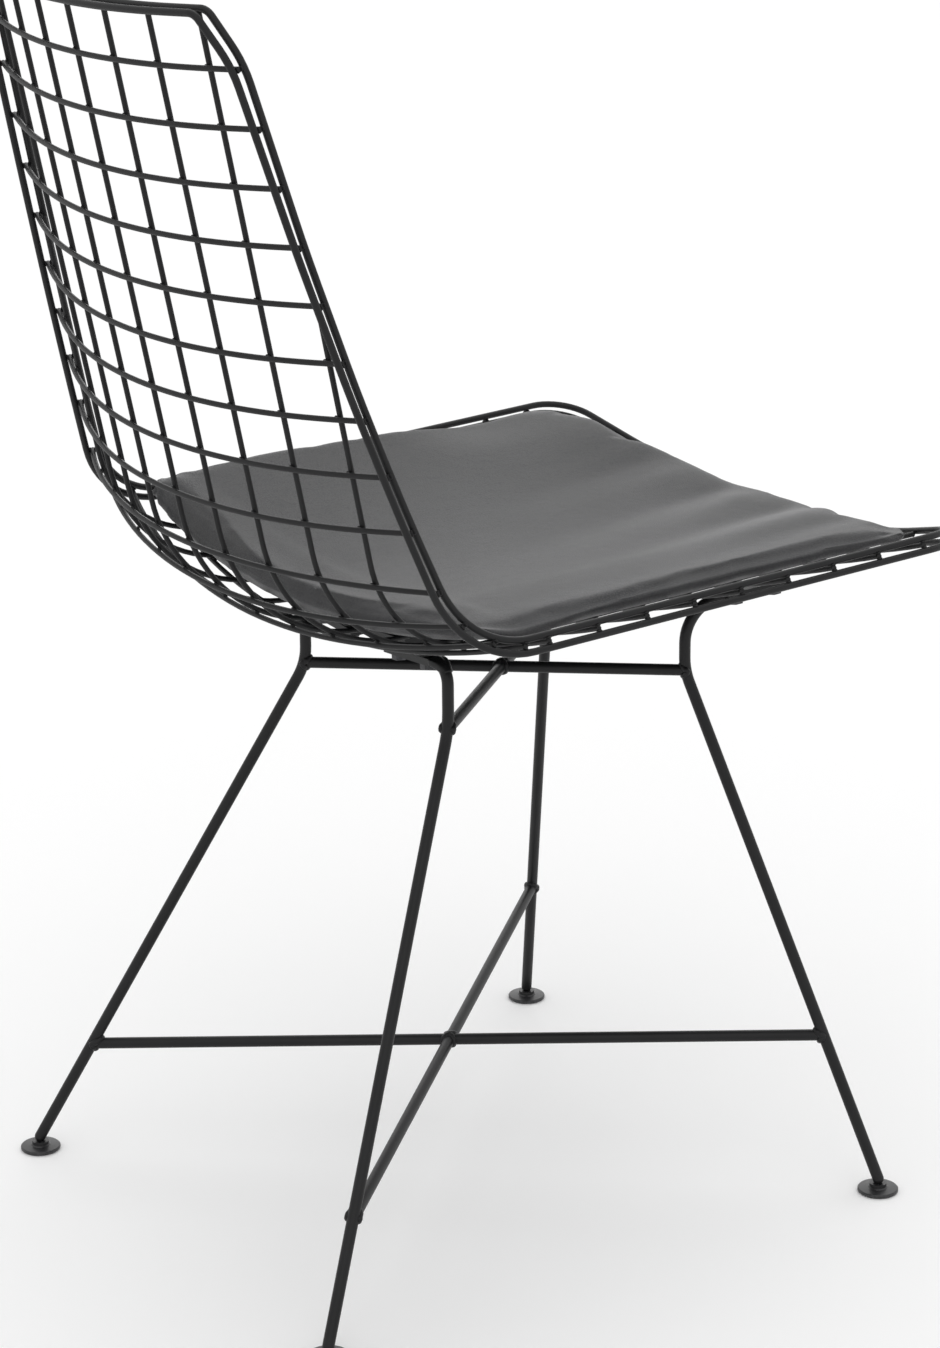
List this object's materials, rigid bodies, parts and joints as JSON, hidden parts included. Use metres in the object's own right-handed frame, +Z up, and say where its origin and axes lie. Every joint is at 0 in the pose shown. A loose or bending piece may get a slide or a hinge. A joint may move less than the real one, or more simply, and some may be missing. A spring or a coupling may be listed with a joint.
{
  "type": "wire mesh chair",
  "caption": "Wire mesh chair: a bucket of welded rod in one bent sheet on four splayed rod legs with crossed bars and a loose seat pad.",
  "frame": {"origin": "on the floor, in the middle of the chair's box", "axes": "+Z up, -Y towards the front of the chair, +X to the sitter's left"},
  "size_m": [0.4598, 0.5752, 0.8601],
  "materials": {
    "mesh_wire": "satin black powder coat",
    "rim_wire": "satin black powder coat",
    "leg_rod": "satin black powder coat",
    "bar_rod": "satin black powder coat",
    "mount_plate": "satin black powder coat",
    "bolt": "blackened steel",
    "glide": "black moulded",
    "pad_leather": "dark grey, soft, lightly grained"
  },
  "bodies": {
    "frame": {"bar_lower_back_left": "bar_rod", "bar_lower_front_right": "bar_rod", "bar_lower_long": "bar_rod", "bar_upper_back_left": "bar_rod", "bar_upper_front_right": "bar_rod", "bar_upper_long": "bar_rod", "bolts_back_left": "bolt", "bolts_back_right": "bolt", "bolts_front_left": "bolt", "bolts_front_right": "bolt", "leg_back_left": "leg_rod", "leg_back_right": "leg_rod", "leg_front_left": "leg_rod", "leg_front_right": "leg_rod", "mesh_across_back_01": "mesh_wire", "mesh_across_back_02": "mesh_wire", "mesh_across_back_03": "mesh_wire", "mesh_across_back_04": "mesh_wire", "mesh_across_back_05": "mesh_wire", "mesh_across_back_06": "mesh_wire", "mesh_across_back_07": "mesh_wire", "mesh_across_back_08": "mesh_wire", "mesh_across_back_09": "mesh_wire", "mesh_across_back_10": "mesh_wire", "mesh_across_bend_1": "mesh_wire", "mesh_across_bend_2": "mesh_wire", "mesh_across_bend_3": "mesh_wire", "mesh_across_seat_1": "mesh_wire", "mesh_across_seat_2": "mesh_wire", "mesh_across_seat_3": "mesh_wire", "mesh_across_seat_4": "mesh_wire", "mesh_across_seat_5": "mesh_wire", "mesh_across_seat_6": "mesh_wire", "mesh_across_seat_7": "mesh_wire", "mesh_across_seat_8": "mesh_wire", "mesh_across_seat_9": "mesh_wire", "mesh_lengthwise_1": "mesh_wire", "mesh_lengthwise_2": "mesh_wire", "mesh_lengthwise_3": "mesh_wire", "mesh_lengthwise_4": "mesh_wire", "mesh_lengthwise_5": "mesh_wire", "mesh_lengthwise_6": "mesh_wire", "mesh_lengthwise_7": "mesh_wire", "mesh_lengthwise_8": "mesh_wire", "mesh_lengthwise_9": "mesh_wire", "mount_plate_back_left": "mount_plate", "mount_plate_back_right": "mount_plate", "mount_plate_front_left": "mount_plate", "mount_plate_front_right": "mount_plate", "rim_inner_left": "rim_wire", "rim_inner_right": "rim_wire", "rim_outer_left": "rim_wire", "rim_outer_right": "rim_wire"},
    "pad": {"seat_pad": "pad_leather"},
    "glide_back_left": {"glide_back_left": "glide"},
    "glide_back_right": {"glide_back_right": "glide"},
    "glide_front_left": {"glide_front_left": "glide"},
    "glide_front_right": {"glide_front_right": "glide"}
  },
  "joints": [
    {"name": "glide_tilt_back_left", "type": "hinge", "parent": "frame", "child": "glide_back_left", "pos_m": [0.19276, 0.23146, 0.0096], "axis": [0.8495, -0.5275, 0], "range_deg": [-8, 8]},
    {"name": "glide_tilt_back_right", "type": "hinge", "parent": "frame", "child": "glide_back_right", "pos_m": [-0.19276, 0.23146, 0.0096], "axis": [0.8495, 0.5275, 0], "range_deg": [-8, 8]},
    {"name": "glide_tilt_front_left", "type": "hinge", "parent": "frame", "child": "glide_front_left", "pos_m": [0.21216, -0.21475, 0.0096], "axis": [-0.4951, -0.8688, 0], "range_deg": [-8, 8]},
    {"name": "glide_tilt_front_right", "type": "hinge", "parent": "frame", "child": "glide_front_right", "pos_m": [-0.21216, -0.21475, 0.0096], "axis": [-0.4951, 0.8688, 0], "range_deg": [-8, 8]},
    {"name": "pad_lift", "type": "slide", "parent": "frame", "child": "pad", "axis": [0, 0, 1], "range_m": [0, 0.15]}
  ]
}
